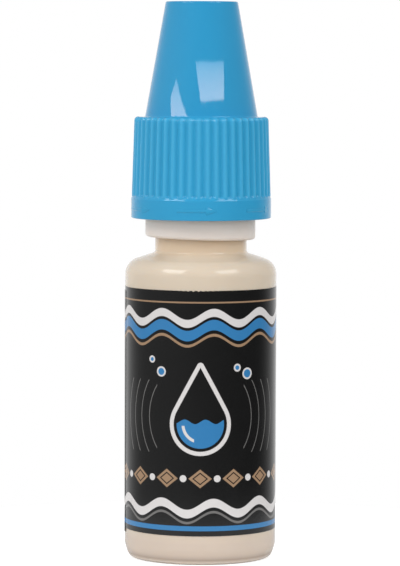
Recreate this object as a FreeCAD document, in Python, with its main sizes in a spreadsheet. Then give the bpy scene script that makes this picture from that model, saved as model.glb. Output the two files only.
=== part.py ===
import FreeCAD, Part
import os

import Sketcher

# A dropper bottle for chain lube: blown squeeze bottle, wrap label, nozzle plug, and a press-and-turn
# cap of two shells with a tamper band. Millimetres and degrees, +Z up, standing on the origin.

SIZES = {
    "bottle": {
        "body_diameter": 21.9,
        "body_wall": 0.9,
        "heel_radius": 1.8,
        "foot_width": 1.7,
        "floor_thickness": 1.0,
        "push_up_depth": 0.8,
        "push_up_run": 1.2,
        "shoulder_height": 44.5,
        "shoulder_slope": 18.0,
        "shoulder_radius": 2.4,
        "neck_diameter": 13.2,
        "neck_foot_bevel": 0.45,
        "neck_height": 14.0,
        "neck_bore": 9.2,
        "thread_root_diameter": 12.4,
        "thread_depth": 0.7,
        "thread_clearance": 0.3,
        "bead_diameter": 14.5,
        "bead_land": 0.4,
        "bead_rise": 3.3,
    },
    "label": {
        "label_bottom": 4.3,
        "label_height": 35.3,
        "label_thickness": 0.1,
        "label_glue": 0.02,
        "label_lap": 22.0,
        "label_lap_start": 168.0,
        "label_skew": 0.6,
    },
    "dropper plug": {
        "plug_clearance": 0.02,
        "plug_length": 6.5,
        "plug_wall": 1.1,
        "plug_bead_height": 0.12,
        "plug_bead_width": 0.8,
        "plug_bead_depth": 3.0,
        "plug_flange_diameter": 11.4,
        "plug_flange_thickness": 1.0,
        "nozzle_base_diameter": 6.0,
        "nozzle_tip_diameter": 3.0,
        "nozzle_length": 13.5,
        "nozzle_wall": 1.0,
        "orifice_diameter": 1.2,
        "orifice_length": 1.6,
    },
    "tamper band": {
        "band_diameter": 15.8,
        "band_lip_height": 1.2,
        "band_neck_clearance": 0.25,
        "band_bead_clearance": 0.15,
        "band_bevel": 0.45,
        "bridge_height": 0.35,
        "bridge_gap": 0.1,
        "bridge_width": 0.5,
        "bridge_count": 8,
    },
    "inner cap": {
        "seal_gap": 0.1,
        "inner_cap_diameter": 17.0,
        "inner_deck": 1.2,
        "inner_skirt_depth": 9.3,
        "catch_rise": 0.85,
        "catch_height": 0.45,
        "catch_thickness": 0.9,
        "spire_diameter": 8.6,
        "spire_wall": 0.9,
        "spire_roof": 1.0,
        "pin_gap": 0.5,
        "pin_clearance": 0.1,
        "pin_reach": 1.1,
        "ratchet_count": 12,
        "ratchet_inset": 0.3,
        "ratchet_width": 0.9,
        "ratchet_height": 1.0,
        "ratchet_length": 1.4,
        "ratchet_land": 0.4,
        "ratchet_root": 0.4,
        "ratchet_play": 0.5,
    },
    "outer cap": {
        "press_gap": 0.2,
        "skirt_foot_diameter": 20.24,
        "skirt_top_diameter": 19.5,
        "shell_skirt_height": 14.7,
        "shell_bore": 18.1,
        "shell_deck": 1.2,
        "cone_base_diameter": 16.4,
        "cone_tip_diameter": 10.48,
        "cone_height": 16.7,
        "cone_wall": 1.0,
        "cone_roof": 1.2,
        "cone_bevel": 0.35,
        "plain_band_height": 2.85,
        "plain_band_step": 0.08,
        "catch_clearance": 0.2,
        "catch_gap": 0.1,
        "flute_count": 48,
        "flute_width": 0.74,
        "flute_floor": 0.26,
        "flute_depth": 0.3,
        "flute_run_out": 0.15,
        "cap_turn": 1.7,
    },
}

doc = FreeCAD.newDocument("chain_lube_bottle")
sheet = doc.addObject("Spreadsheet::Sheet", "dims")


def fill_sheet():
    """Write every size to a row of the sheet: its name, its value with an alias, and its piece."""
    row = 0
    for piece, sizes in SIZES.items():
        for alias, size in sizes.items():
            row += 1
            sheet.set(f"A{row}", alias)
            sheet.set(f"B{row}", str(size))
            sheet.setAlias(f"B{row}", alias)
            sheet.set(f"C{row}", piece)
    doc.recompute()


def value(expression):
    """The number that an expression on the sheet comes to."""
    found = sheet.evalExpression(expression)
    return float(getattr(found, "Value", found))


def half(alias):
    """Expression for the radius of a diameter on the sheet."""
    return f"(dims.{alias} / 2)"


# Heights and radii that more than one piece is set by, as expressions on the sheet
BODY_R = half("body_diameter")
NECK_R = half("neck_diameter")
BORE_R = half("neck_bore")
ROOT_R = half("thread_root_diameter")
BEAD_R = half("bead_diameter")
SLOPE = "tan(dims.shoulder_slope * 1 deg)"
BEAD_FOOT = "(dims.shoulder_height + dims.bead_rise)"
LIP = "(dims.shoulder_height + dims.neck_height)"
PLUG_BEAD = f"({LIP} - dims.plug_bead_depth)"
FLANGE_TOP = f"({LIP} + dims.plug_flange_thickness)"
NOZZLE_TIP = f"({FLANGE_TOP} + dims.nozzle_length)"
ORIFICE_R = half("orifice_diameter")
INNER_R = half("inner_cap_diameter")
INNER_BORE_R = f"({ROOT_R} + dims.thread_depth + dims.thread_clearance)"
INNER_UNDER = f"({FLANGE_TOP} + dims.seal_gap)"
INNER_TOP = f"({INNER_UNDER} + dims.inner_deck)"
INNER_FOOT = f"({INNER_UNDER} - dims.inner_skirt_depth)"
BAND_R = half("band_diameter")
BAND_BORE_R = f"({BEAD_R} + dims.band_bead_clearance)"
BAND_TOP = f"({INNER_FOOT} - dims.bridge_height)"
CATCH_FOOT = f"({INNER_FOOT} + dims.catch_rise)"
RATCHET_R = f"({INNER_R} - dims.ratchet_inset - dims.ratchet_width)"
LUG_TIP = f"({INNER_TOP} + dims.ratchet_height + dims.press_gap)"
SHELL_UNDER = f"({LUG_TIP} + dims.ratchet_height)"
SHELL_TOP = f"({SHELL_UNDER} + dims.shell_deck)"
SHELL_FOOT = f"({SHELL_TOP} - dims.shell_skirt_height)"
CONE_TOP = f"({SHELL_TOP} + dims.cone_height)"
SKIRT_R = half("skirt_foot_diameter")
SHOULDER_R = half("skirt_top_diameter")
SHELL_BORE_R = half("shell_bore")
LEDGE = f"({SHELL_FOOT} + dims.plain_band_height)"
LEDGE_TOP = f"({LEDGE} + dims.plain_band_step)"
CONE_R = half("cone_base_diameter")
CONE_TIP_R = half("cone_tip_diameter")
TAPER = f"(({SKIRT_R} - {SHOULDER_R}) / ({SHELL_TOP} - {LEDGE_TOP}))"
CONE_TAPER = f"(({CONE_R} - {CONE_TIP_R}) / dims.cone_height)"


def new_body(label):
    """An empty body that will be written to a file of its label's name."""
    body = doc.addObject("PartDesign::Body", label)
    body.Label = label
    return body


def origin_plane(body, role):
    """One of the body's own origin planes."""
    return next(plane for plane in body.Origin.OriginFeatures if plane.Role == role)


def origin_axis(body, role):
    """One of the body's own origin axes, as a reference."""
    return (origin_plane(body, role), [""])


def outline(body, name, role, corners):
    """Closed sketch whose corners are expressions on the sheet, across and up."""
    sketch = body.newObject("Sketcher::SketchObject", name)
    sketch.AttachmentSupport = (origin_plane(body, role), [""])
    sketch.MapMode = "FlatFace"
    places = [FreeCAD.Vector(value(corner[0]), value(corner[1]), 0) for corner in corners]
    for index, place in enumerate(places):
        following = places[(index + 1) % len(places)]
        sketch.addGeometry(Part.LineSegment(place, following), False)
    for index, corner in enumerate(corners):
        before = (index - 1) % len(corners)
        sketch.addConstraint(Sketcher.Constraint("Coincident", before, 2, index, 1))
        # The sketch's own upright axis is its geometry -2 and the level one is -1
        pin_corner(sketch, index, "DistanceX", -2, corner[0])
        pin_corner(sketch, index, "DistanceY", -1, corner[1])
    return sketch


def pin_corner(sketch, index, kind, axis, expression):
    """Hold one coordinate of a corner: on the axis where it is 0, else at its expression."""
    if expression == "0":
        sketch.addConstraint(Sketcher.Constraint("PointOnObject", index, 1, axis))
        return
    constraint = Sketcher.Constraint(kind, -1, 1, index, 1, value(expression))
    bind(sketch, sketch.addConstraint(constraint), f"{kind}_{index}", expression)


def bind(sketch, number, name, expression):
    """Name a constraint and tie it to an expression."""
    sketch.renameConstraint(number, name)
    sketch.setExpression(f"Constraints.{name}", expression)


def lathe(body, name, corners):
    """Turn a profile of (radius, height) corners round the body's upright axis."""
    sketch = outline(body, name + "_profile", "XZ_Plane", corners)
    turned = body.newObject("PartDesign::Revolution", name)
    turned.Profile = sketch
    turned.ReferenceAxis = (sketch, ["V_Axis"])
    turned.Angle = 360
    doc.recompute()
    return turned


def radial_pad(body, name, corners, inner_radius, width):
    """Pad a (sideways, height) outline outwards from a radius, along the body's X axis."""
    sketch = outline(body, name + "_outline", "YZ_Plane", corners)
    lift_sketch(sketch, inner_radius)
    pad = body.newObject("PartDesign::Pad", name)
    pad.Profile = sketch
    pad.Length = value(width)
    pad.setExpression("Length", width)
    doc.recompute()
    return pad


def repeat_round(body, feature, name, count):
    """Repeat a feature evenly round the body's upright axis."""
    pattern = body.newObject("PartDesign::PolarPattern", name)
    pattern.Originals = [feature]
    pattern.Axis = origin_axis(body, "Z_Axis")
    pattern.Angle = 360
    pattern.Occurrences = int(value(count))
    pattern.setExpression("Occurrences", count)
    body.Tip = pattern
    doc.recompute()
    return pattern


def must_change(before, after, grows):
    """Stop if a feature pointed the wrong way and left the volume as it was."""
    if (after > before) != grows or abs(after - before) < 1e-3:
        raise ValueError(f"volume went from {before} to {after}")


def bent_corner(centre, radius, start, sweep):
    """Four corners along an arc, so that three narrow flats stand for a rounding. Angles are in degrees."""
    corners = []
    for step in range(4):
        angle = f"(({start} + {sweep} * {step} / 3) * 1 deg)"
        across = f"({centre[0]} + {radius} * cos({angle}))"
        up = f"({centre[1]} + {radius} * sin({angle}))"
        corners.append((across, up))
    return corners


def make_bottle():
    """Blown squeeze bottle with a push-up base, a snap bead on its neck, and walls thinner at the corners."""
    body = new_body("bottle")
    foot_r = f"({BODY_R} - dims.heel_radius - dims.foot_width)"
    dome_r = f"({foot_r} - dims.push_up_run)"
    floor_top = "(dims.floor_thickness + dims.push_up_depth)"
    inner_r = f"({BODY_R} - dims.body_wall)"
    shoulder_edge = f"(dims.shoulder_height - ({BODY_R} - {NECK_R}) * {SLOPE})"
    wall_drop = "(dims.body_wall / cos(dims.shoulder_slope * 1 deg))"
    inner_edge = f"({shoulder_edge} + dims.body_wall * {SLOPE} - {wall_drop})"
    bore_foot = f"(dims.shoulder_height + ({NECK_R} - {BORE_R}) * {SLOPE} - {wall_drop})"
    bead_edge = f"({BEAD_FOOT} + dims.bead_land)"
    bead_top = f"({bead_edge} + {BEAD_R} - {ROOT_R})"
    groove_half = "(dims.plug_bead_width / 2)"
    heel_centre = (f"({BODY_R} - dims.heel_radius)", "dims.heel_radius")
    tangent = "(dims.shoulder_radius * tan((45 - dims.shoulder_slope / 2) * 1 deg))"
    shoulder_centre = (f"({BODY_R} - dims.shoulder_radius)", f"({shoulder_edge} - {tangent})")
    neck_foot_r = f"({NECK_R} + dims.neck_foot_bevel)"
    neck_foot = f"(dims.shoulder_height - dims.neck_foot_bevel * {SLOPE})"
    lathe(body, "blown_shape", [
        (foot_r, "0"),
        *bent_corner(heel_centre, "dims.heel_radius", "-90", "90"),
        *bent_corner(shoulder_centre, "dims.shoulder_radius", "0", "(90 - dims.shoulder_slope)"),
        (neck_foot_r, neck_foot),
        (NECK_R, "(dims.shoulder_height + dims.neck_foot_bevel)"),
        (NECK_R, BEAD_FOOT),
        (BEAD_R, BEAD_FOOT),
        (BEAD_R, bead_edge),
        (ROOT_R, bead_top),
        (ROOT_R, LIP),
        (BORE_R, LIP),
        (BORE_R, f"({PLUG_BEAD} + {groove_half})"),
        (f"({BORE_R} + dims.plug_bead_height)", PLUG_BEAD),
        (BORE_R, f"({PLUG_BEAD} - {groove_half})"),
        (BORE_R, bore_foot),
        (inner_r, inner_edge),
        (inner_r, "dims.floor_thickness"),
        (foot_r, "dims.floor_thickness"),
        (dome_r, floor_top),
        ("0", floor_top),
        ("0", "dims.push_up_depth"),
        (dome_r, "dims.push_up_depth"),
    ])
    return body


def make_label():
    """Film label wrapped once round the body, its end lapped over its start and a little askew."""
    body = new_body("label")
    inner = f"({BODY_R} + dims.label_glue)"
    outer = f"({inner} + dims.label_thickness)"
    top = "(dims.label_bottom + dims.label_height)"
    lathe(body, "wrap", [
        (inner, "dims.label_bottom"),
        (outer, "dims.label_bottom"),
        (outer, top),
        (inner, top),
    ])
    low = "(dims.label_bottom - dims.label_skew)"
    lapped = f"({outer} + dims.label_thickness)"
    sketch = outline(body, "lap_profile", "XZ_Plane", [
        (outer, low),
        (lapped, low),
        (lapped, f"({low} + dims.label_height)"),
        (outer, f"({low} + dims.label_height)"),
    ])
    lap = body.newObject("PartDesign::Revolution", "lap")
    lap.Profile = sketch
    lap.ReferenceAxis = (sketch, ["V_Axis"])
    lap.Angle = value("dims.label_lap")
    lap.setExpression("Angle", "dims.label_lap")
    turn_body(body, "dims.label_lap_start")
    return body


def make_dropper_plug():
    """Nozzle insert: a sleeve that snaps into the neck, a flange on the lip and a tapered nozzle."""
    body = new_body("dropper_plug")
    sleeve_r = f"({BORE_R} - dims.plug_clearance)"
    sleeve_bore = f"({sleeve_r} - dims.plug_wall)"
    sleeve_foot = f"({LIP} - dims.plug_length)"
    bead_half = "(dims.plug_bead_width / 2)"
    flange_r = half("plug_flange_diameter")
    base_r = half("nozzle_base_diameter")
    tip_r = half("nozzle_tip_diameter")
    passage_r = f"({base_r} - dims.nozzle_wall)"
    lathe(body, "moulded_shape", [
        (sleeve_bore, sleeve_foot),
        (sleeve_r, sleeve_foot),
        (sleeve_r, f"({PLUG_BEAD} - {bead_half})"),
        (f"({sleeve_r} + dims.plug_bead_height)", PLUG_BEAD),
        (sleeve_r, f"({PLUG_BEAD} + {bead_half})"),
        (sleeve_r, LIP),
        (flange_r, LIP),
        (flange_r, FLANGE_TOP),
        (base_r, FLANGE_TOP),
        (tip_r, NOZZLE_TIP),
        (ORIFICE_R, NOZZLE_TIP),
        (ORIFICE_R, f"({NOZZLE_TIP} - dims.orifice_length)"),
        (passage_r, FLANGE_TOP),
        (passage_r, LIP),
        (sleeve_bore, LIP),
    ])
    return body


def make_tamper_band():
    """Ring left on the neck, its lip held under the snap bead."""
    body = new_body("tamper_band")
    lip_r = f"({NECK_R} + dims.band_neck_clearance)"
    lip_top = f"({BEAD_FOOT} - dims.band_bead_clearance)"
    foot = f"({lip_top} - dims.band_lip_height)"
    lathe(body, "ring", [
        (lip_r, foot),
        (f"({BAND_R} - dims.band_bevel)", foot),
        (BAND_R, f"({foot} + dims.band_bevel)"),
        (BAND_R, BAND_TOP),
        (BAND_BORE_R, BAND_TOP),
        (BAND_BORE_R, lip_top),
        (lip_r, lip_top),
    ])
    return body


def make_inner_cap():
    """Threaded closure: skirt with a catch flange, deck with ratchet teeth, spire with a sealing pin."""
    body = new_body("inner_cap")
    flange_r = f"({INNER_R} + dims.catch_height)"
    catch_top = f"({CATCH_FOOT} + dims.catch_thickness)"
    spire_r = half("spire_diameter")
    spire_bore = f"({spire_r} - dims.spire_wall)"
    roof_under = f"({NOZZLE_TIP} + dims.pin_gap)"
    roof_top = f"({roof_under} + dims.spire_roof)"
    pin_r = f"({ORIFICE_R} - dims.pin_clearance)"
    pin_tip = f"({NOZZLE_TIP} - dims.pin_reach)"
    lathe(body, "moulded_shape", [
        (INNER_BORE_R, INNER_FOOT),
        (INNER_R, INNER_FOOT),
        (INNER_R, CATCH_FOOT),
        (flange_r, CATCH_FOOT),
        (INNER_R, catch_top),
        (INNER_R, INNER_TOP),
        (spire_r, INNER_TOP),
        (spire_r, roof_top),
        ("0", roof_top),
        ("0", pin_tip),
        (pin_r, pin_tip),
        (pin_r, roof_under),
        (spire_bore, roof_under),
        (spire_bore, INNER_UNDER),
        (INNER_BORE_R, INNER_UNDER),
    ])
    tooth_foot = f"({INNER_TOP} - dims.ratchet_root)"
    tooth_top = f"({INNER_TOP} + dims.ratchet_height)"
    drive = "(-dims.ratchet_play / 2 - dims.ratchet_length)"
    ramp_end = "(-dims.ratchet_play / 2)"
    tooth = radial_pad(body, "tooth", [
        (drive, tooth_foot),
        (ramp_end, tooth_foot),
        (ramp_end, INNER_TOP),
        (f"({drive} + dims.ratchet_land)", tooth_top),
        (drive, tooth_top),
    ], RATCHET_R, "dims.ratchet_width")
    repeat_round(body, tooth, "teeth", "dims.ratchet_count")
    bridge_side = "(dims.bridge_width / 2)"
    bridge_foot = f"({BAND_TOP} + dims.bridge_gap)"
    bridge_top = f"({INNER_FOOT} + dims.bridge_height)"
    bridge = radial_pad(body, "bridge", [
        (f"(-{bridge_side})", bridge_foot),
        (bridge_side, bridge_foot),
        (bridge_side, bridge_top),
        (f"(-{bridge_side})", bridge_top),
    ], BAND_BORE_R, f"({BAND_R} - {BAND_BORE_R})")
    repeat_round(body, bridge, "bridges", "dims.bridge_count")
    turn_body(body, "dims.cap_turn")
    return body


def make_outer_cap():
    """Grip shell: fluted tapered skirt over a plain band, flat deck, cone, drive lugs and catch ring."""
    body = new_body("outer_cap")
    band_r = f"({SKIRT_R} + dims.plain_band_step)"
    catch_r = f"({INNER_R} + dims.catch_clearance)"
    catch_top = f"({CATCH_FOOT} - dims.catch_gap)"
    catch_foot = f"({catch_top} - dims.catch_thickness)"
    roof_under = f"({CONE_TOP} - dims.cone_roof)"
    lathe(body, "moulded_shape", [
        (SHELL_BORE_R, SHELL_FOOT),
        (band_r, SHELL_FOOT),
        (band_r, LEDGE),
        (SKIRT_R, LEDGE_TOP),
        (SHOULDER_R, SHELL_TOP),
        (CONE_R, SHELL_TOP),
        (f"({CONE_TIP_R} + dims.cone_bevel * {CONE_TAPER})", f"({CONE_TOP} - dims.cone_bevel)"),
        (f"({CONE_TIP_R} - dims.cone_bevel)", CONE_TOP),
        ("0", CONE_TOP),
        ("0", roof_under),
        (f"({CONE_TIP_R} - dims.cone_wall)", roof_under),
        (f"({CONE_R} - dims.cone_wall)", SHELL_UNDER),
        (SHELL_BORE_R, SHELL_UNDER),
        (SHELL_BORE_R, catch_top),
        (catch_r, catch_top),
        (SHELL_BORE_R, catch_foot),
    ])
    repeat_round(body, cut_flute(body), "flutes", "dims.flute_count")
    lug_root = f"({SHELL_UNDER} + dims.ratchet_root)"
    drive = "(dims.ratchet_play / 2 + dims.ratchet_length)"
    ramp_end = "(dims.ratchet_play / 2)"
    lug = radial_pad(body, "lug", [
        (ramp_end, lug_root),
        (ramp_end, SHELL_UNDER),
        (f"({drive} - dims.ratchet_land)", LUG_TIP),
        (drive, LUG_TIP),
        (drive, lug_root),
    ], RATCHET_R, "dims.ratchet_width")
    repeat_round(body, lug, "lugs", "dims.ratchet_count")
    turn_body(body, "dims.cap_turn")
    return body


def cut_flute(body):
    """One flute down the taper of the skirt, from the deck to just above the plain band."""
    floor_side = "(dims.flute_floor / 2)"
    mouth_side = f"(dims.flute_width - {floor_side})"
    floor_r = f"({SHOULDER_R} - dims.flute_depth)"
    mouth_r = f"({SHOULDER_R} + dims.flute_depth)"
    length = f"({SHELL_TOP} - {LEDGE_TOP} - dims.flute_run_out)"
    sketch = outline(body, "flute_section", "XY_Plane", [
        (floor_r, f"(-{floor_side})"),
        (mouth_r, f"(-{mouth_side})"),
        (mouth_r, mouth_side),
        (floor_r, floor_side),
    ])
    lift_sketch(sketch, SHELL_TOP)
    before = body.Tip.Shape.Volume
    flute = body.newObject("PartDesign::Pocket", "flute")
    flute.Profile = sketch
    flute.Length = value(length)
    flute.setExpression("Length", length)
    flute.UseCustomVector = True
    flute.Direction = FreeCAD.Vector(value(TAPER), 0, -1)
    flute.setExpression(".Direction.x", TAPER)
    flute.AlongSketchNormal = True
    doc.recompute()
    must_change(before, flute.Shape.Volume, False)
    return flute


def lift_sketch(sketch, distance):
    """Move a sketch off its plane, along the plane's normal."""
    offset = FreeCAD.Vector(0, 0, value(distance))
    sketch.AttachmentOffset = FreeCAD.Placement(offset, FreeCAD.Rotation())
    sketch.setExpression(".AttachmentOffset.Base.z", distance)


def turn_body(body, angle):
    """Stand the body turned round the upright axis by an angle on the sheet."""
    turn = FreeCAD.Rotation(FreeCAD.Vector(0, 0, 1), value(angle))
    body.Placement = FreeCAD.Placement(FreeCAD.Vector(), turn)
    body.setExpression(".Placement.Rotation.Angle", f"{angle} * 1 deg")
    doc.recompute()


def check_and_write(pieces):
    """Stop on any failed object or bad shape, then write each piece to its file."""
    doc.recompute()
    for thing in doc.Objects:
        if {"Invalid", "Error"} & set(thing.State):
            raise ValueError(f"{thing.Name} is {thing.State}")
    for piece in pieces:
        if piece.Shape.isNull() or not piece.Shape.isValid() or len(piece.Shape.Solids) != 1:
            raise ValueError(f"{piece.Label} has no sound shape")
    os.makedirs("parts", exist_ok=True)
    for piece in pieces:
        piece.Shape.exportStep(f"parts/{piece.Label}.step")


fill_sheet()
check_and_write([
    make_bottle(),
    make_label(),
    make_dropper_plug(),
    make_tamper_band(),
    make_inner_cap(),
    make_outer_cap(),
])
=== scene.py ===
import math

import bmesh
import bpy
from mathutils import Euler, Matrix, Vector


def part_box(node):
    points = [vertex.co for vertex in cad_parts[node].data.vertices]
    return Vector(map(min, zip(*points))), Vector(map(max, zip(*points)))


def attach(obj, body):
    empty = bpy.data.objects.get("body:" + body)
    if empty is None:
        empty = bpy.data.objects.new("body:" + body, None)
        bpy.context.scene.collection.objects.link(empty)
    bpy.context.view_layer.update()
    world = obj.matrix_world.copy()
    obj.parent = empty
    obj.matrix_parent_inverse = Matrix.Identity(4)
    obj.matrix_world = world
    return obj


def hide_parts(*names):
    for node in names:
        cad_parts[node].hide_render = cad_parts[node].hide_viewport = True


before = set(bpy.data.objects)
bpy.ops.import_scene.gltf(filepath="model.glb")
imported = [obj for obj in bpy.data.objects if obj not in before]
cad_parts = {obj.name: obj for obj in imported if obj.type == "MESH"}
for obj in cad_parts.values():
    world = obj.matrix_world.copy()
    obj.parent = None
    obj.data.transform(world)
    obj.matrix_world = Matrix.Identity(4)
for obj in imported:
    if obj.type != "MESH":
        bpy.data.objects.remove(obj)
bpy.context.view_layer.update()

# Bottle
# A squeeze bottle blown from a tube of cream polyethylene between two mould halves. It keeps a fine raised
# line at each side where the halves met, and its neck carries the screw thread for the cap.
MM = 0.001
hairbreadth = 0.01
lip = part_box("bottle")[1].z / MM
label_low, label_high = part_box("label")

body_radius = 10.95
body_wall = 0.9
inner_radius = body_radius - body_wall
heel_rise = 1.9
heel_inset = 0.6
neck_radius = 6.6
neck_foot_radius = 0.5
shoulder_height = 44.5
shoulder_slope = math.tan(math.radians(18.0))
shoulder_foot = shoulder_height - (body_radius - neck_radius) * shoulder_slope
shoulder_radius = 2.45
inner_shoulder = shoulder_height - 2.2
thread_root = 6.2
bead_radius = 7.25
bead_foot = 47.8
bead_crest = bead_foot + 0.4
bead_top = bead_crest + bead_radius - thread_root
bore_radius = 4.6
bore_foot = shoulder_height - 0.3
foot_inner = 7.45
push_up = 0.8
push_up_radius = foot_inner - 1.2
floor_thickness = 1.0
seam_height = 0.05
seam_width = 0.22
seam_margin = 0.4
bottle_columns = 360


def rounded(corners, steps=10):
    """Points in millimetres through (radius, height, rounding) corners, with an arc where one is rounded."""
    points = []
    for index, (across, up, rounding) in enumerate(corners):
        corner = Vector((across, up))
        if rounding == 0:
            points.append(corner)
            continue
        before = Vector(corners[index - 1][:2])
        after = Vector(corners[(index + 1) % len(corners)][:2])
        back = (before - corner).normalized()
        on = (after - corner).normalized()
        half_angle = back.angle(on) / 2
        middle = (back + on).normalized()
        centre = corner + middle * rounding / math.sin(half_angle)
        sweep = math.pi / 2 - half_angle
        side = -1 if back.cross(on) > 0 else 1
        for step in range(steps + 1):
            turn = side * sweep * (1 - 2 * step / steps)
            spoke = Vector((
                -middle.x * math.cos(turn) - middle.y * math.sin(turn),
                middle.x * math.sin(turn) - middle.y * math.cos(turn),
            ))
            points.append(centre + spoke * rounding)
    return points


def solid(name, vertices, faces, crease=40):
    """Linked object from vertices in millimetres, smooth apart from edges sharper than the crease angle.

    Normals lean to the larger faces, so that a flat keeps its own shading beside a rounded edge.
    """
    same_place = 1e-7
    mesh = bpy.data.meshes.new(name)
    mesh.from_pydata([Vector(vertex) * MM for vertex in vertices], [], faces)
    work = bmesh.new()
    work.from_mesh(mesh)
    bmesh.ops.remove_doubles(work, verts=work.verts, dist=same_place)
    bmesh.ops.dissolve_degenerate(work, edges=work.edges, dist=same_place)
    bmesh.ops.delete(work, geom=[edge for edge in work.edges if edge.is_wire], context="EDGES")
    bmesh.ops.recalc_face_normals(work, faces=work.faces)
    work.to_mesh(mesh)
    work.free()
    mesh.shade_smooth()
    mesh.set_sharp_from_angle(angle=math.radians(crease))
    made = bpy.data.objects.new(name, mesh)
    bpy.context.collection.objects.link(made)
    made.modifiers.new("large_faces_lead", "WEIGHTED_NORMAL").keep_sharp = True
    return made


def polar(radius, angle, up):
    """A point from its distance to the axis, its angle and its height."""
    return (radius * math.cos(angle), radius * math.sin(angle), up)


def even(angle, across, up):
    """No added radius anywhere."""
    return 0


def spun(profile, columns, swell=even):
    """Vertices and faces of a closed profile turned round the axis. swell gives an added radius."""
    vertices = []
    for column in range(columns):
        angle = 2 * math.pi * column / columns
        for across, up in profile:
            vertices.append(polar(across + swell(angle, across, up), angle, up))
    rows = len(profile)
    faces = []
    for column in range(columns):
        here = column * rows
        beside = (column + 1) % columns * rows
        for row in range(rows):
            above = (row + 1) % rows
            faces.append((here + row, beside + row, beside + above, here + above))
    return vertices, faces


def swept(sections):
    """Vertices and faces of a bar led through sections with the same number of corners, both ends closed."""
    vertices = [point for section in sections for point in section]
    corners = len(sections[0])
    last = len(vertices) - corners
    faces = []
    for low in range(0, last, corners):
        high = low + corners
        for corner in range(corners):
            following = (corner + 1) % corners
            faces.append((low + corner, low + following, high + following, high + corner))
    faces.append(tuple(range(corners)))
    faces.append(tuple(range(last, last + corners)))
    return vertices, faces


def parting_line(angle, across, up):
    """Height of the mould's parting line at both sides of the bottle, wherever the label doesn't cover it."""
    under_label = label_low.z / MM - seam_margin < up < label_high.z / MM + seam_margin
    outside = across > neck_radius - hairbreadth and up < bead_foot
    if under_label or not outside:
        return 0
    off = math.asin(abs(math.sin(angle))) * across
    return seam_height * max(0, 1 - off / seam_width)


bottle_profile = rounded([
    (foot_inner, 0, 0.4),
    (body_radius - heel_inset, 0, 0.9),
    (body_radius, heel_rise, 3.0),
    (body_radius, shoulder_foot, shoulder_radius),
    (neck_radius, shoulder_height, neck_foot_radius),
    (neck_radius, bead_foot, 0),
    (bead_radius, bead_foot, 0.1),
    (bead_radius, bead_crest, 0.2),
    (thread_root, bead_top, 0),
    (thread_root, lip, 0.25),
    (bore_radius, lip, 0.15),
    (bore_radius, bore_foot, 0.4),
    (inner_radius, inner_shoulder, 1.2),
    (inner_radius, floor_thickness, 1.1),
    (foot_inner, floor_thickness, 0),
    (push_up_radius, floor_thickness + push_up, 0),
    (0, floor_thickness + push_up, 0),
    (0, push_up, 0),
    (push_up_radius, push_up, 0.5),
])
bottle = solid("blown_bottle", *spun(bottle_profile, bottle_columns, parting_line))

thread_lead = 3.0
thread_turns = 2.2
thread_crest = 6.9
thread_foot = 50.6
thread_sunk = 0.1
thread_crease = 25


def ridge(root, crest, foot, turns):
    """Screw thread ridge: a trapezoid led along a helix, fading into its root at both ends."""
    root_half = 0.65
    crest_half = 0.28
    fade = 0.12
    steps_a_turn = 96
    steps = int(turns * steps_a_turn)
    sections = []
    for step in range(steps + 1):
        share = step / steps
        angle = 2 * math.pi * turns * share
        height = foot + thread_lead * turns * share
        grown = min(1, share / fade, (1 - share) / fade)
        tip = root + (crest - root) * grown
        outline = ((root, -root_half), (tip, -crest_half), (tip, crest_half), (root, root_half))
        sections.append([polar(radius, angle, height + offset) for radius, offset in outline])
    return swept(sections)


neck_ridge = ridge(thread_root - thread_sunk, thread_crest, thread_foot, thread_turns)
neck_thread = solid("neck_thread", *neck_ridge, thread_crease)

scar_length = 9.0
scar_width = 0.5
scar_height = 0.35
scar_flat = 0.4
scar_sunk = 0.1
scar_blunt = 0.02
scar_wander = 0.05
scar_wave = 3.1
scar_rows = 24
scar_sections = []
for row in range(scar_rows + 1):
    along = scar_length * (row / scar_rows - 0.5)
    thin = math.sqrt(max(scar_blunt, 1 - (2 * along / scar_length) ** 2))
    section = []
    for side, drop in ((-1, 0), (-scar_flat, 1), (scar_flat, 1), (1, 0)):
        wander = scar_wander * math.sin(along * scar_wave + side)
        beside = side * scar_width / 2 * thin + wander
        section.append((along, beside, push_up + scar_sunk - scar_height * drop * thin))
    scar_sections.append(section)
pinch_scar = solid("pinch_scar", *swept(scar_sections), crease=60)


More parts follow.
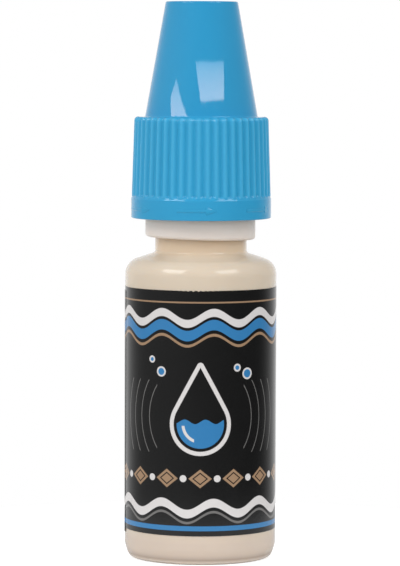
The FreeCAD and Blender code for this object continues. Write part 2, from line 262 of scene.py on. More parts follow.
class Shade:
    """A shader socket that takes part in Python arithmetic, each step adding a Math node."""

    def __init__(self, tree, socket=None):
        self.tree = tree
        self.socket = socket

    def node(self, kind, settings=None, inputs=None, output=0):
        """Any node: its type, its settings, the values or links of its sockets, and the wanted output."""
        made = self.tree.nodes.new(kind)
        for name, setting in (settings or {}).items():
            setattr(made, name, setting)
        self.feed(made, inputs or {})
        return Shade(self.tree, made.outputs[output])

    def feed(self, made, inputs):
        """Set or link the sockets of a node."""
        for name, given in inputs.items():
            if isinstance(given, Shade):
                self.tree.links.new(given.socket, made.inputs[name])
            else:
                made.inputs[name].default_value = given

    def paint(self, inputs):
        """Set or link the sockets of the material's own surface shader."""
        self.feed(self.tree.nodes["Principled BSDF"], inputs)

    def math(self, operation, first, second=0.0, clamp=False):
        """A Math node on two values or sockets."""
        settings = {"operation": operation, "use_clamp": clamp}
        return self.node("ShaderNodeMath", settings, {0: first, 1: second})

    def __add__(self, other):
        return self.math("ADD", self, other)

    def __radd__(self, other):
        return self.math("ADD", other, self)

    def __sub__(self, other):
        return self.math("SUBTRACT", self, other)

    def __rsub__(self, other):
        return self.math("SUBTRACT", other, self)

    def __mul__(self, other):
        return self.math("MULTIPLY", self, other)

    def __rmul__(self, other):
        return self.math("MULTIPLY", other, self)

    def __truediv__(self, other):
        return self.math("DIVIDE", self, other)

    def __rtruediv__(self, other):
        return self.math("DIVIDE", other, self)

    def __pow__(self, other):
        return self.math("POWER", self, other)

    def __abs__(self):
        return self.math("ABSOLUTE", self)

    def least(self, other):
        return self.math("MINIMUM", self, other)

    def most(self, other):
        return self.math("MAXIMUM", self, other)

    def sine(self):
        return self.math("SINE", self)

    def clip(self):
        """Held between 0 and 1."""
        return self.math("ADD", self, 0.0, clamp=True)

    def place(self):
        """Coordinates on the piece, in metres."""
        return self.node("ShaderNodeTexCoord", output="Object")

    def parts(self, vector):
        """The three numbers of a vector."""
        split = self.node("ShaderNodeSeparateXYZ", inputs={0: vector}).socket.node
        return [Shade(self.tree, split.outputs[axis]) for axis in range(3)]

    def noise(self, grain, detail=2.0, stretch=(1, 1, 1)):
        """Noise from 0 to 1 with a grain in millimetres, drawn out along an axis by a small stretch."""
        vector = self.node("ShaderNodeVectorMath", {"operation": "MULTIPLY"}, {0: self.place(), 1: stretch})
        inputs = {"Vector": vector, "Scale": 1 / (grain * MM), "Detail": detail}
        return self.node("ShaderNodeTexNoise", None, inputs)

    def mix(self, share, first, second):
        """A colour between two colours."""
        settings = {"data_type": "RGBA"}
        return self.node("ShaderNodeMix", settings, {0: share, 6: first, 7: second}, output=2)

    def bump(self, height, depth, strength=1.0):
        """A normal from a height of 0 to 1 that stands for a depth in millimetres."""
        inputs = {"Height": height, "Distance": depth * MM, "Strength": strength}
        return self.node("ShaderNodeBump", None, inputs)


def finish(name):
    """A new material, as the start of shader expressions."""
    made = bpy.data.materials.new(name)
    made.use_nodes = True
    return made, Shade(made.node_tree)


def ink(red, green, blue):
    """Linear colour from the red, green and blue of a colour chart, 0 to 255."""
    def linear(part):
        share = part / 255
        return share / 12.92 if share < 0.04045 else ((share + 0.055) / 1.055) ** 2.4
    return (linear(red), linear(green), linear(blue), 1.0)


def ramp(place, start, end):
    """0 up to a start, 1 from an end on, and even in between. The end may lie below the start."""
    return ((place - start) / (end - start)).clip()


def dress(piece, material, body):
    """Give a new piece its material and its body."""
    piece.data.materials.append(material)
    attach(piece, body)


cream_pale = ink(221, 206, 187)
cream_deep = ink(213, 196, 174)
# Painted shade: a darker cream for the bottle's base.
base_shade_cream = ink(208, 191, 175)
floor_line_cream = ink(168, 151, 137)
# Painted reflection: a pale cream for the white table mirrored along the very foot.
foot_reflection_cream = ink(236, 224, 214)
# Painted shade: a darker tan for the neck in the cap's shadow.
neck_shade_cream = ink(221, 200, 174)
painted_base_shade_top = 5.0
painted_base_shade_full = 3.0
floor_line_top = 1.65
floor_line_full = 0.75
floor_line_foot = 0.4
floor_line_depth = 0.85
foot_reflection_height = 0.34
foot_reflection_half = 0.18
foot_reflection_depth = 0.5
neck_shade_foot = 44.0
neck_shade_full = 44.8

cream_plastic, shade = finish("cream_polyethylene")
cloud = shade.noise(9.0)
mottle = shade.noise(1.2, 4.0)
height = shade.parts(shade.place())[2] / MM
# Painted shade: the cream turns darker towards the base.
painted_base_shade = ramp(height, painted_base_shade_top, painted_base_shade_full)
floor_fade = ramp(height, floor_line_top, floor_line_full) ** 2
floor_line = floor_fade * ramp(height, floor_line_foot, floor_line_full)
# Painted reflection: a pale line round the very foot of the heel.
foot_reflection = (1 - abs(height - foot_reflection_height) / foot_reflection_half).clip()
# Painted shade: the neck above the shoulder is painted a darker tan, for the shade under the cap.
neck_shade = ramp(height, neck_shade_foot, neck_shade_full)
cream = shade.mix(cloud, cream_pale, cream_deep)
cream = shade.mix(painted_base_shade, cream, base_shade_cream)
cream = shade.mix(floor_line * floor_line_depth, cream, floor_line_cream)
cream = shade.mix(foot_reflection * foot_reflection_depth, cream, foot_reflection_cream)
cream = shade.mix(neck_shade, cream, neck_shade_cream)
shade.paint({
    "Base Color": cream,
    "Roughness": 0.07 + mottle * 0.05,
    "Normal": shade.bump(mottle, 0.02, 0.2),
    "Subsurface Weight": 0.25,
    "Subsurface Radius": (1.0, 0.75, 0.5),
    "Subsurface Scale": 1.5 * MM,
})
for piece in (bottle, neck_thread, pinch_scar):
    dress(piece, cream_plastic, "bottle")
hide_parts("bottle")

# Label
# A black printed film wrapped once round the body by machine. Its outer end is lapped over the start at the
# left and a little low, and its upper edge is nicked where the blade cut it.
glue = 0.02
film_inner = body_radius + glue
film_thickness = 0.06
film_radius = film_inner + film_thickness
lap_start = math.radians(168.0)
lap = math.radians(22.0)
lap_drop = 0.6
lap_ramp = math.radians(9.0)
film_bottom = label_low.z / MM + lap_drop
film_top = label_high.z / MM
film_columns = 560
nick_centre = -3.0
nick_spread = 13.0
nick_depth = 0.1
nick_least = 0.02
nick_level = 0.3
coarse_nicks = 97
fine_nicks = 173
fine_share = 0.6


def ease(share):
    """Smooth step from 0 to 1."""
    share = min(1, max(0, share))
    return share * share * (3 - 2 * share)


def nick(angle):
    """Depth of the cut's raggedness along the upper edge, deepest at the front."""
    front = -math.pi / 2
    off = math.degrees(math.remainder(angle - front, 2 * math.pi))
    near = math.exp(-((off - nick_centre) / nick_spread) ** 2)
    wave = math.sin(angle * coarse_nicks) + fine_share * math.sin(angle * fine_nicks + 1)
    return nick_least + nick_depth * near * max(0, wave + nick_level)


film_sections = []
for column in range(film_columns + 1):
    turned = (2 * math.pi + lap) * column / film_columns
    angle = lap_start + turned
    climb = ease((turned - 2 * math.pi + lap_ramp) / lap_ramp)
    inner = film_inner + film_thickness * climb
    outer = inner + film_thickness
    low = film_bottom - lap_drop * climb
    top = film_top - lap_drop * climb - nick(angle)
    outline = ((inner, low), (outer, low), (outer, top), (inner, top))
    film_sections.append([polar(radius, angle, up) for radius, up in outline])
wrap_label = solid("wrap_label", *swept(film_sections), crease=30)

print_black = ink(21, 21, 21)
print_shadow = ink(17, 17, 17)
print_white = ink(217, 213, 211)
print_blue = ink(52, 124, 178)
print_tan = ink(160, 130, 102)
print_grey = ink(112, 110, 108)
edge_softness = 0.07
around = 2 * math.pi * film_radius

printed_film, shade = finish("printed_film")
east, north, up = shade.parts(shade.place())
across = shade.math("ARCTAN2", east, 0 - north) * film_radius
rise = up / MM - film_bottom
ground = shade.mix(shade.noise(3.0), print_black, print_shadow)


def inside(distance):
    """1 where a distance in millimetres is below 0, with a soft edge."""
    return (0.5 - distance / edge_softness).clip()


def line(distance, width):
    """1 on a line of that width along where a distance is 0."""
    return inside(abs(distance) - width / 2)


def apart(first, second):
    """Distance between two points from their differences across and up."""
    return (first * first + second * second) ** 0.5


def repeated(position, period):
    """A position folded into one period with 0 at its middle."""
    settings = {"operation": "WRAP"}
    return shade.node("ShaderNodeMath", settings, {0: position, 1: period / 2, 2: -period / 2})


wave_count = 9
wave_swing = 0.8
high_wave_rise = 29.6
low_wave_rise = 4.0


def wavy(middle):
    """Height above a wavy line that swings about a middle height."""
    swing = (across * (2 * math.pi * wave_count / around)).sine() * wave_swing
    return rise - middle - swing


def striped(under, wave, stripes):
    """Print with stripes along a wave, each given by how far it lies below the wave, its width and colour."""
    for below, width, colour in stripes:
        under = shade.mix(line(wave + below, width), under, colour)
    return under


high_stripes = ((-1.75, 1.15, print_white), (0.0, 1.5, print_blue), (1.45, 0.4, print_tan))
low_stripes = ((0.0, 1.25, print_white), (1.3, 0.35, print_grey))
art = striped(ground, wavy(high_wave_rise), high_stripes)

ripple_centre = 17.1
ripple_half = 5.2
ripple_near = 6.6
ripple_far = 13.2
ripple_gap = 1.6
ripple_width = 0.13
ripple = apart(across, rise - ripple_centre)
ripple_sides = inside(ripple_near - abs(across)) * inside(ripple - ripple_far)
ripple_band = inside(abs(rise - ripple_centre) - ripple_half) * ripple_sides
art = shade.mix(line(repeated(ripple, ripple_gap), ripple_width) * ripple_band, art, print_grey)

drop_round = 4.3
drop_tip = 0.3
drop_tall = 8.4
drop_low = 16.1
drop_margin = 0.85
drop_line_inset = 0.1
drop_line_width = 0.6
fill_level = 0.4
fill_wave = 2.1
fill_swing = 0.32
glint_aside = 0.9
glint_below = 0.2
glint_radius = 2.5
glint_width = 0.42
lean = (drop_round - drop_tip) / drop_tall
upright = math.sqrt(1 - lean * lean)
drop_side = abs(across)
drop_rise = rise - drop_low
axis_share = (drop_rise - drop_side * (lean / upright)).most(0.0).least(drop_tall)
drop_edge = apart(drop_side, drop_rise - axis_share) - (drop_round - lean * axis_share)
fill = drop_rise - fill_level - (across * fill_wave).sine() * fill_swing
glint_corner = inside(across + glint_aside) * inside(drop_rise + glint_below)
glint = line(apart(across, drop_rise) - glint_radius, glint_width) * glint_corner
art = shade.mix(inside(drop_edge), art, ground)
art = shade.mix(inside(drop_edge + drop_margin) * inside(fill), art, print_blue)
art = shade.mix(line(drop_edge + drop_line_inset, drop_line_width), art, print_white)
art = shade.mix(glint, art, print_white)

bubble_line_width = 0.24
bubbles = ((-5.9, 23.6, 0.62), (-7.5, 25.3, 0.4), (5.5, 24.2, 0.45), (7.2, 23.3, 0.72))
for aside, bubble_rise, radius in bubbles:
    bubble_edge = apart(across - aside, rise - bubble_rise) - radius
    art = shade.mix(inside(bubble_edge), art, print_blue)
    art = shade.mix(line(bubble_edge, bubble_line_width), art, print_white)

lozenge_count = 14
lozenge_row = 8.3
lozenge_across = 0.62
lozenge_up = 0.78
lozenge_size = 1.05
inlay_inset = 0.42
inlay_width = 0.16
dot_radius = 0.5
pitch = around / lozenge_count
row_rise = rise - lozenge_row
lozenge = abs(repeated(across, pitch)) * lozenge_across + abs(row_rise) * lozenge_up - lozenge_size
dot = apart(repeated(across - pitch / 2, pitch), row_rise) - dot_radius
art = shade.mix(inside(lozenge), art, print_tan)
art = shade.mix(line(lozenge + inlay_inset, inlay_width), art, ground)
art = shade.mix(inside(dot), art, print_white)

art = striped(art, wavy(low_wave_rise), low_stripes)
for rule_rise, width, colour in ((33.6, 0.22, print_tan), (1.1, 0.7, print_blue)):
    art = shade.mix(line(rise - rule_rise, width), art, colour)

panel_centre = 16.0
panel_half = 6.6
panel_side = 23.0
panel_gap = 1.3
panel_width = 0.14
panel_rise = rise - panel_centre
back_panel = inside(abs(panel_rise) - panel_half) * inside(panel_side - abs(across))
art = shade.mix(line(repeated(panel_rise, panel_gap), panel_width) * back_panel, art, print_grey)

orange_peel = shade.noise(0.5, 3.0)
scuff = shade.noise(2.5, 4.0, (1, 1, 0.3))
shade.paint({
    "Base Color": art,
    "Roughness": 0.14 + scuff * 0.08,
    "Normal": shade.bump(orange_peel, 0.012, 0.25),
})
dress(wrap_label, printed_film, "bottle")
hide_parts("label")

# Dropper plug
# A nozzle insert moulded in natural polyethylene: a sleeve pressed into the neck until its bead snaps home,
# a flange that seals on the lip and a tapered nozzle. It shows only when the cap is off.
plug_low, plug_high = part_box("dropper_plug")
sleeve_foot = plug_low.z / MM
nozzle_top = plug_high.z / MM
sleeve_clearance = 0.02
sleeve_wall = 1.1
sleeve_radius = bore_radius - sleeve_clearance
sleeve_bore = sleeve_radius - sleeve_wall
snap_height = lip - 3.0
snap_half = 0.4
snap_proud = 0.12
flange_radius = 5.7
flange_top = lip + 1.0
nozzle_radius = 3.0
passage_radius = 2.0
nozzle_tip = 1.5
orifice_radius = 0.6
orifice_length = 1.6
plug_columns = 120
plug_profile = rounded([
    (sleeve_bore, sleeve_foot, 0.15),
    (sleeve_radius, sleeve_foot, 0.3),
    (sleeve_radius, snap_height - snap_half, 0),
    (sleeve_radius + snap_proud, snap_height, 0),
    (sleeve_radius, snap_height + snap_half, 0),
    (sleeve_radius, lip, 0),
    (flange_radius, lip, 0.1),
    (flange_radius, flange_top, 0.3),
    (nozzle_radius, flange_top, 0.6),
    (nozzle_tip, nozzle_top, 0.35),
    (orifice_radius, nozzle_top, 0.12),
    (orifice_radius, nozzle_top - orifice_length, 0),
    (passage_radius, flange_top, 0),
    (passage_radius, lip, 0),
    (sleeve_bore, lip, 0.2),
], steps=6)
nozzle_plug = solid("nozzle_plug", *spun(plug_profile, plug_columns))

plug_pale = ink(238, 236, 230)
plug_deep = ink(226, 223, 215)
natural_plug, shade = finish("natural_polyethylene")
flow = shade.noise(2.0, 3.0, (1, 1, 0.4))
shade.paint({
    "Base Color": shade.mix(flow, plug_pale, plug_deep),
    "Roughness": 0.4 + flow * 0.1,
    "Normal": shade.bump(shade.noise(0.4), 0.01, 0.3),
    "Subsurface Weight": 0.4,
    "Subsurface Radius": (1.0, 0.9, 0.8),
    "Subsurface Scale": 1.2 * MM,
})
dress(nozzle_plug, natural_plug, "bottle")
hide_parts("dropper_plug")

# Tamper band
# The ring that stays on the neck under the snap bead, moulded in natural polypropylene with the inner cap
# and torn from it along thin bridges. It sits loose and a little askew, and light passes some way into it.
ring_low, ring_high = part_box("tamper_band")
ring_foot = ring_low.z / MM + 0.15
ring_top = ring_high.z / MM
ring_radius = 8.0
ring_bore = 7.4
ring_aside = -0.1
askew = math.tan(math.radians(1.5))
lip_bore = neck_radius + 0.25
lip_top = bead_foot - 0.15
ring_columns = 240
ring_profile = rounded([
    (lip_bore, ring_foot, 0.15),
    (ring_radius, ring_foot, 0.5),
    (ring_radius, ring_top, 0.12),
    (ring_bore, ring_top, 0.08),
    (ring_bore, lip_top, 0.1),
    (lip_bore, lip_top, 0.1),
])
ring_points, ring_faces = spun(ring_profile, ring_columns)
ring_points = [(east + ring_aside, north, up - east * askew) for east, north, up in ring_points]
torn_ring = solid("torn_ring", ring_points, ring_faces)

natural_pale = ink(238, 227, 218)
natural_deep = ink(231, 219, 209)
natural_plastic, shade = finish("natural_polypropylene")
haze = shade.noise(3.0, 3.0)
shade.paint({
    "Base Color": shade.mix(haze, natural_pale, natural_deep),
    "Roughness": 0.34 + haze * 0.1,
    "Normal": shade.bump(shade.noise(0.35), 0.008, 0.3),
    "Subsurface Weight": 0.4,
    "Subsurface Radius": (0.8, 0.9, 1.0),
    "Subsurface Scale": 1.2 * MM,
})
dress(torn_ring, natural_plastic, "tamper_band")
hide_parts("tamper_band")

# Inner cap
# The threaded closure under the blue shell: a skirt with a catch flange, a deck with the ratchet teeth that
# the shell's lugs drive, a spire over the nozzle and a sealing pin. Stubs of the torn bridges hang from its
# foot, and its thread runs in the gaps of the neck's thread.
closure_low, closure_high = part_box("inner_cap")
bridge_drop = 0.25
bridge_root = 0.35
bridge_half = 0.25
bridge_width = 0.5
bridge_count = 8
closure_foot = closure_low.z / MM + bridge_drop
closure_under = flange_top + 0.1
closure_top = closure_under + 1.2
closure_radius = 8.5
cap_bore = 7.2
flange_foot = closure_foot + 0.85
catch_flange = 0.45
catch_slope = 0.9
spire_radius = 4.3
spire_bore = 3.4
spire_top = closure_high.z / MM
spire_under = spire_top - 1.0
pin_radius = 0.5
pin_tip = nozzle_top - 1.1
closure_columns = 180
closure_profile = rounded([
    (cap_bore, closure_foot, 0.15),
    (closure_radius, closure_foot, 0.2),
    (closure_radius, flange_foot, 0),
    (closure_radius + catch_flange, flange_foot, 0.08),
    (closure_radius, flange_foot + catch_slope, 0),
    (closure_radius, closure_top, 0.25),
    (spire_radius, closure_top, 0.4),
    (spire_radius, spire_top, 0.5),
    (0, spire_top, 0),
    (0, pin_tip, 0),
    (pin_radius, pin_tip, 0.15),
    (pin_radius, spire_under, 0.1),
    (spire_bore, spire_under, 0.3),
    (spire_bore, closure_under, 0.2),
    (cap_bore, closure_under, 0.3),
], steps=6)
closure_wall = spun(closure_profile, closure_columns)
cap_twist = math.radians(1.7)


def joined(*shapes):
    """Several closed shapes as one: their points in a row, and their faces."""
    points = []
    faces = []
    for shape_points, shape_faces in shapes:
        first = len(points)
        points += shape_points
        faces += [tuple(first + corner for corner in face) for face in shape_faces]
    return points, faces


def ring_of_blocks(outline, count, inner, width):
    """Like blocks set evenly round the axis: an outline of (sideways, height) corners, led outwards."""
    blocks = []
    for number in range(count):
        angle = cap_twist + 2 * math.pi * number / count
        outward = Vector((math.cos(angle), math.sin(angle), 0))
        sideways = Vector((-math.sin(angle), math.cos(angle), 0))
        section = [sideways * beside + Vector((0, 0, up)) for beside, up in outline]
        near = [outward * inner + corner for corner in section]
        far = [outward * (inner + width) + corner for corner in section]
        blocks.append(swept((near, far)))
    return joined(*blocks)


tooth_count = 12
tooth_inner = 7.3
tooth_width = 0.9
tooth_foot = 0.25
tooth_drive = 1.65
tooth_land = 0.4
tooth_height = 1.0
tooth_sunk = 0.2
ratchet_teeth = ring_of_blocks((
    (-tooth_foot, closure_top - tooth_sunk),
    (-tooth_foot, closure_top),
    (tooth_land - tooth_drive, closure_top + tooth_height),
    (-tooth_drive, closure_top + tooth_height),
    (-tooth_drive, closure_top - tooth_sunk),
), tooth_count, tooth_inner, tooth_width)
bridge_stubs = ring_of_blocks((
    (-bridge_half, closure_foot - bridge_drop),
    (bridge_half, closure_foot - bridge_drop),
    (bridge_half, closure_foot + bridge_root),
    (-bridge_half, closure_foot + bridge_root),
), bridge_count, ring_bore, bridge_width)
threaded_closure = solid("threaded_closure", *joined(closure_wall, ratchet_teeth, bridge_stubs))

cap_thread_crest = 6.55
cap_thread_turns = 1.8
cap_thread_foot = thread_foot + thread_lead / 2
cap_ridge = ridge(cap_bore + thread_sunk, cap_thread_crest, cap_thread_foot, cap_thread_turns)
cap_thread = solid("cap_thread", *cap_ridge, thread_crease)

for piece in (threaded_closure, cap_thread):
    dress(piece, natural_plastic, "inner_cap")
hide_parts("inner_cap")

# Outer cap
# The blue polypropylene shell that the hand grips: a tapered skirt with rounded ribs over a plain band, a
# flat deck and a tall cone. Inside are lugs that meet the ratchet and a ring that snaps over the inner cap.
cap_low, cap_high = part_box("outer_cap")
shell_foot = cap_low.z / MM
shell_top = 64.2
shell_bore = 9.05
deck_radius = 9.75
deck_under = 63.0
skirt_radius = 10.12
band_step = 0.08
band_radius = skirt_radius + band_step
ledge = shell_foot + 2.85
taper = (skirt_radius - deck_radius) / (shell_top - ledge)
cone_radius = 8.2
cone_tip = 5.24
cone_top = cap_high.z / MM
cone_wall = 1.0
roof_under = cone_top - 1.2
gate_radius = 1.2
gate_floor_radius = 1.0
gate_floor = cone_top - 0.12
rib_count = 48
rib_columns = 14
flute_depth = 0.3
flute_sharpness = 1.15
flute_start = ledge + 0.22
flute_run_out = 0.45
flute_deck_fade = 0.3
catch_top = 51.05
catch_foot = 50.15
catch_radius = 8.7


def skirt(up):
    """Radius of the skirt's outside at a height."""
    return skirt_radius - (up - ledge) * taper


def flutes(angle, across, up):
    """How far a flute cuts into the skirt, from nothing at the plain band to full depth under the deck."""
    if across < shell_bore + 5 * hairbreadth or up < flute_start or up > shell_top + hairbreadth:
        return 0
    place = math.cos((angle - cap_twist) * rib_count) * 0.5 + 0.5
    cut = flute_depth * place ** flute_sharpness
    deck_fade = min(1, (across - shell_bore) / flute_deck_fade)
    return -cut * ease((up - flute_start) / flute_run_out) * deck_fade


fine_rows = 10
fine_rise = flute_run_out * 1.2
skirt_rows = []
for row in range(1, fine_rows):
    up = flute_start + fine_rise * row / fine_rows
    skirt_rows.append((skirt(up), up, 0))
shell_profile = rounded([
    (shell_bore, shell_foot, 0.2),
    (band_radius, shell_foot, 0.18),
    (band_radius, ledge, 0.05),
    (skirt(flute_start), flute_start, 0),
    *skirt_rows,
    (deck_radius, shell_top, 0.55),
    (shell_bore, shell_top, 0),
    (cone_radius, shell_top, 0.25),
    (cone_tip, cone_top, 0.25),
    (gate_radius, cone_top, 0),
    (gate_floor_radius, gate_floor, 0.1),
    (0, gate_floor, 0),
    (0, roof_under, 0),
    (cone_tip - cone_wall, roof_under, 0.4),
    (cone_radius - cone_wall, deck_under, 0.2),
    (shell_bore, deck_under, 0.3),
    (shell_bore, catch_top, 0),
    (catch_radius, catch_top, 0.1),
    (shell_bore, catch_foot, 0),
], steps=8)
shell_wall = spun(shell_profile, rib_count * rib_columns, flutes)
drive_lugs = ring_of_blocks((
    (tooth_foot, deck_under + tooth_sunk),
    (tooth_foot, deck_under),
    (tooth_drive - tooth_land, deck_under - tooth_height),
    (tooth_drive, deck_under - tooth_height),
    (tooth_drive, deck_under + tooth_sunk),
), tooth_count, tooth_inner, tooth_width)
grip_shell = solid("grip_shell", *joined(shell_wall, drive_lugs), crease=32)

arrow_count = 6
arrow_shaft = 4.2
arrow_head = 1.5
barb = arrow_shaft + 0.15
shaft_half = 0.24
head_half = 0.72
arrow_proud = 0.07
arrow_sunk = 0.03
arrow_flat = 0.6
arrow_height = shell_foot + 1.4
arrow_start = -math.pi / 2 - 0.35
shaft_steps = 8
head_steps = 6
arrow_halves = [(arrow_shaft * step / shaft_steps, shaft_half) for step in range(shaft_steps + 1)]
for step in range(head_steps + 1):
    share = step / head_steps
    arrow_halves.append((barb + arrow_head * share, head_half * (1 - share)))
arrow_outline = ((-arrow_sunk, -1), (arrow_proud, -arrow_flat), (arrow_proud, arrow_flat), (-arrow_sunk, 1))
arrows = []
for number in range(arrow_count):
    start = arrow_start + 2 * math.pi * number / arrow_count
    arrow_sections = []
    for along, half in arrow_halves:
        angle = start + along / band_radius
        section = []
        for proud, side in arrow_outline:
            section.append(polar(band_radius + proud, angle, arrow_height + side * half))
        arrow_sections.append(section)
    arrows.append(swept(arrow_sections))
turn_arrows = solid("turn_arrows", *joined(*arrows), crease=30)

# Painted light and shade: the rib crests are painted a lighter blue and the grooves a darker one.
rib_lit_blue = ink(70, 170, 213)
groove_shade_blue = ink(50, 158, 203)
band_blue = ink(55, 160, 205)
band_deep_blue = ink(50, 155, 201)
# Painted shade: the cone is painted a darker blue than the band.
cone_shade_blue = ink(48, 153, 199)
cone_shade_deep_blue = ink(43, 147, 194)
deck_edge = 0.1
cone_foot_fade = 0.5

blue_plastic, shade = finish("blue_polypropylene")
flow = shade.noise(6.0, 3.0, (1, 1, 0.35))
grain = shade.noise(0.45, 3.0)
east, north, up = shade.parts(shade.place())
height = up / MM
rib_phase = (shade.math("ARCTAN2", north, east) - cap_twist) * rib_count + math.pi / 2
# Painted shade: 1 in the grooves between the ribs, 0 on the crests.
groove_shade = rib_phase.sine() * 0.5 + 0.5
above_band = ramp(height, flute_start, flute_start + flute_run_out)
ribbed = above_band * ramp(height, shell_top, shell_top - deck_edge)
# Painted shade over the cone, from its foot on the deck upwards.
cone_shade = ramp(height, shell_top, shell_top + cone_foot_fade)
# The ribbed skirt's colour: painted light on the crests, painted shade in the grooves.
ribs = shade.mix(groove_shade, rib_lit_blue, groove_shade_blue)
plain = shade.mix(flow, band_blue, band_deep_blue)
# The cone's painted shade, a darker blue with its own flow marks.
cone = shade.mix(flow, cone_shade_blue, cone_shade_deep_blue)
shade.paint({
    "Base Color": shade.mix(cone_shade, shade.mix(ribbed, plain, ribs), cone),
    "Roughness": 0.01 + grain * 0.012,
    "Normal": shade.bump(flow, 0.03, 0.1),
    "Subsurface Weight": 0.1,
    "Subsurface Radius": (0.4, 0.8, 1.0),
    "Subsurface Scale": 0.8 * MM,
})
for piece in (grip_shell, turn_arrows):
    dress(piece, blue_plastic, "outer_cap")
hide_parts("outer_cap")

# Studio
# A small round white table in front of a white backdrop, soft fill from the front left and right, two lamps
# that glint on edges and two window panes that show on the cone. The camera stands where the photo's stood.
table_radius = 60.0
table_rings = (0, 20, 40, table_radius)
table_columns = 96
table_points = []
table_faces = []
for ring in table_rings:
    for column in range(table_columns):
        table_points.append(polar(ring, 2 * math.pi * column / table_columns, -hairbreadth))
for ring in range(1, len(table_rings)):
    for column in range(table_columns):
        beside = (column + 1) % table_columns
        here = (ring - 1) * table_columns
        there = ring * table_columns
        table_faces.append((here + column, there + column, there + beside, here + beside))
white_table = solid("white_table", table_points, table_faces)

table_paint = ink(232, 232, 232)
no_glow = (0, 0, 0, 1)
table_glow = (0.6, 0.6, 0.6, 1)
mirrored_glow = 0.25


def ray(kind):
    """1 for rays of one kind."""
    return shade.node("ShaderNodeLightPath", output=kind)


table_white, shade = finish("table_white")
seen = ray("Is Camera Ray") + ray("Is Glossy Ray") * mirrored_glow + ray("Is Transmission Ray")
shade.paint({
    "Base Color": table_paint,
    "Roughness": 0.6,
    "Emission Color": shade.mix(seen, no_glow, table_glow),
    "Emission Strength": 1.0,
})
white_table.data.materials.append(table_white)

room_level = 0.2
left_lean = 0.12
backdrop_light = 0.5
backdrop_narrowing = 2.6
wall_light = 0.2
wall_climb = 8
wall_foot = 0.3
fill_light = 0.25
room = bpy.data.worlds.new("white_studio")
room.use_nodes = True
shade = Shade(room.node_tree)
east, north, up = shade.parts(shade.node("ShaderNodeTexCoord", output="Generated"))
backdrop = north.clip() ** backdrop_narrowing * (1 - up).clip()
side_walls = east * east * (up * wall_climb - wall_foot).clip()
soft_fill = ray("Is Diffuse Ray") * fill_light
room_light = room_level - east * left_lean + backdrop * backdrop_light + side_walls * wall_light + soft_fill
seen = ray("Is Camera Ray") + ray("Is Glossy Ray") * backdrop + ray("Is Transmission Ray")
brightness = seen + (1 - seen) * room_light
grey = shade.node("ShaderNodeCombineColor", None, {0: brightness, 1: brightness, 2: brightness})
shade.feed(room.node_tree.nodes["Background"], {"Color": grey})
bpy.context.scene.world = room

lamp_distance = 0.8
lamp_height = 0.04
lamp_colour = (0.96, 0.98, 1.0)
for name, azimuth, elevation, power, wide, tall, mirrored in (
    ("left_fill", -48, 10, 1.2, 0.5, 0.32, False),
    ("right_fill", 52, 10, 1.4, 0.5, 0.32, False),
    ("left_glint", -50, 40, 2.1, 0.46, 0.34, True),
    ("right_glint", 48, 40, 1.85, 0.46, 0.34, True),
):
    lamp_data = bpy.data.lights.new(name, "AREA")
    lamp_data.shape = "RECTANGLE"
    lamp_data.size = wide
    lamp_data.size_y = tall
    lamp_data.energy = power
    lamp_data.color = lamp_colour
    lamp = bpy.data.objects.new(name, lamp_data)
    lamp.visible_glossy = mirrored
    bpy.context.collection.objects.link(lamp)
    turn = math.radians(azimuth)
    lift = math.radians(elevation)
    away = Vector((math.sin(turn) * math.cos(lift), -math.cos(turn) * math.cos(lift), math.sin(lift)))
    lamp.location = away * lamp_distance + Vector((0, 0, lamp_height))
    lamp.rotation_euler = away.to_track_quat("Z", "Y").to_euler()

camera_place = Vector((-0.00012, -0.510, 0.075))
aim_height = 0.03997
camera_roll = math.radians(0.21)
camera_data = bpy.data.cameras.new("camera")
camera_data.lens = 223
camera_data.sensor_width = 36
camera_data.clip_start = 0.01
camera = bpy.data.objects.new("camera", camera_data)
bpy.context.collection.objects.link(camera)
camera.location = camera_place
pitch_down = math.atan((camera_place.z - aim_height) / -camera_place.y)
look = Euler((math.pi / 2 - pitch_down, 0, 0)).to_matrix() @ Euler((0, 0, camera_roll)).to_matrix()
camera.rotation_euler = look.to_euler()
bpy.context.scene.camera = camera
bpy.context.scene.view_settings.view_transform = "Standard"

pane_distance = 0.9
cone_lean = math.atan((cone_radius - cone_tip) / (cone_top - shell_top))
pane_rows = 12
pane_columns = 24
pane_top_glow = (0.32, 0.43, 0.5, 1)
pane_foot_glow = (1.0, 0.83, 0.77, 1)
pane_curve = 0.6
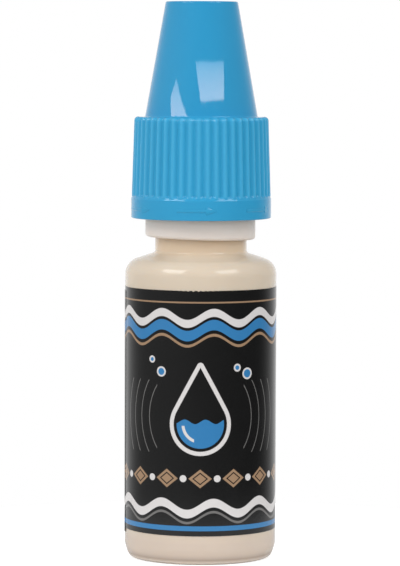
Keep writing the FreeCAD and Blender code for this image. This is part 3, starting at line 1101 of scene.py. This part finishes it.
# A pane has a left and a right side, led through (degrees from the front, height) corners on the cone.
right_pane = (
    ((-7.2, 72.4), (-0.9, 66.65)),
    ((27.9, 72.4), (24.6, 67.0)),
)
left_pane = (
    ((-30.4, 69.8), (-35.2, 67.2), (-32.0, 64.3)),
    ((-29.4, 69.8), (-22.8, 67.2), (-13.8, 64.3)),
)


def pane_corner(angle, up):
    """Where a pane's corner stands, from where it shows on the cone: degrees from the front, and height."""
    turn = math.radians(angle)
    radius = cone_radius - (up - shell_top) * math.tan(cone_lean)
    level_out = Vector((math.sin(turn), -math.cos(turn), 0))
    spot = (level_out * radius + Vector((0, 0, up))) * MM
    outward = level_out * math.cos(cone_lean) + Vector((0, 0, math.sin(cone_lean)))
    sight = (spot - camera_place).normalized()
    return (spot + sight.reflect(outward) * pane_distance) / MM


def side_at(corners, share):
    """Angle and height on a pane's side, led through its corners, at a share of the way down."""
    place = share * (len(corners) - 1)
    first = min(int(place), len(corners) - 2)
    return Vector(corners[first]).lerp(Vector(corners[first + 1]), place - first)


pane_glow, shade = finish("pane_glow")
fall = shade.node("ShaderNodeAttribute", {"attribute_name": "fall"}, output="Fac")
shade.paint({
    "Base Color": no_glow,
    "Roughness": 1.0,
    "Emission Color": shade.mix(fall ** pane_curve, pane_top_glow, pane_foot_glow),
    "Emission Strength": 7.6,
})
for name, (left_side, right_side) in (("right_pane", right_pane), ("left_pane", left_pane)):
    pane_points = []
    pane_faces = []
    falls = []
    for row in range(pane_rows + 1):
        left = side_at(left_side, row / pane_rows)
        right = side_at(right_side, row / pane_rows)
        for column in range(pane_columns + 1):
            pane_points.append(pane_corner(*left.lerp(right, column / pane_columns)))
            falls.append(row / pane_rows)
    for row in range(pane_rows):
        for column in range(pane_columns):
            corner = row * (pane_columns + 1) + column
            below = corner + pane_columns + 1
            pane_faces.append((corner, corner + 1, below + 1, below))
    pane = solid(name, pane_points, pane_faces)
    pane.data.attributes.new("fall", "FLOAT", "POINT").data.foreach_set("value", falls)
    pane.data.materials.append(pane_glow)
    pane.visible_camera = False
